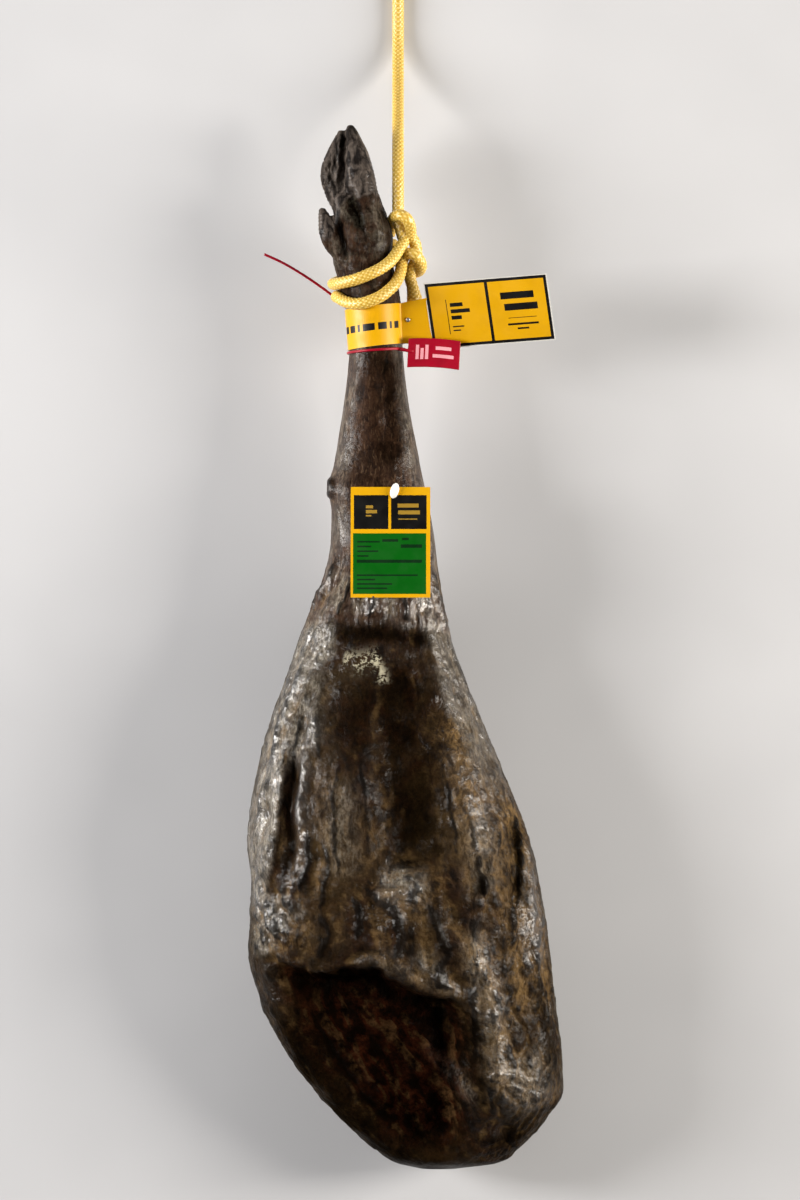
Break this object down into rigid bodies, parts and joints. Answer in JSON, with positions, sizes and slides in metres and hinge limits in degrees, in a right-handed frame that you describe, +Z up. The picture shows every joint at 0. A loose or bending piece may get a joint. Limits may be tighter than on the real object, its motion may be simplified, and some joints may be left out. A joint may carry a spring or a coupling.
{
  "type": "whole cured ham",
  "caption": "whole cured ham with its hoof, lying on its rounded back, with a card band and tag, a plastic seal, a pinned label and a knotted rope at the ankle",
  "frame": {"origin": "middle of the lowest plane under the ham's box, leaving out the free rope", "axes": "+Z up, out of the shown side; +Y along the leg, from the butt end to the hoof; +X to the right when the hoof is at the top"},
  "size_m": [0.2413, 0.9895, 0.144],
  "materials": {
    "cured_meat": "dry cured skin and lean, dark brown with grey mould and a greasy shine",
    "rope": "shiny braided cord, yellow gold",
    "printed_card": "coated card, yellow with black frames",
    "steel": "small stud",
    "red_plastic": "moulded crimson plastic",
    "label_card": "coated card with a yellow frame, black boxes and a green field",
    "white_plastic": "smooth white"
  },
  "bodies": {
    "root": {"ham": "cured_meat", "rope_turn_upper": "rope", "rope_turn_lower": "rope", "rope_knot": "rope", "rope_line": "rope", "rope_eye": "rope", "band": "printed_card", "rivet": "steel", "seal": "red_plastic", "label": "label_card", "label_pin": "white_plastic"}
  },
  "joints": []
}
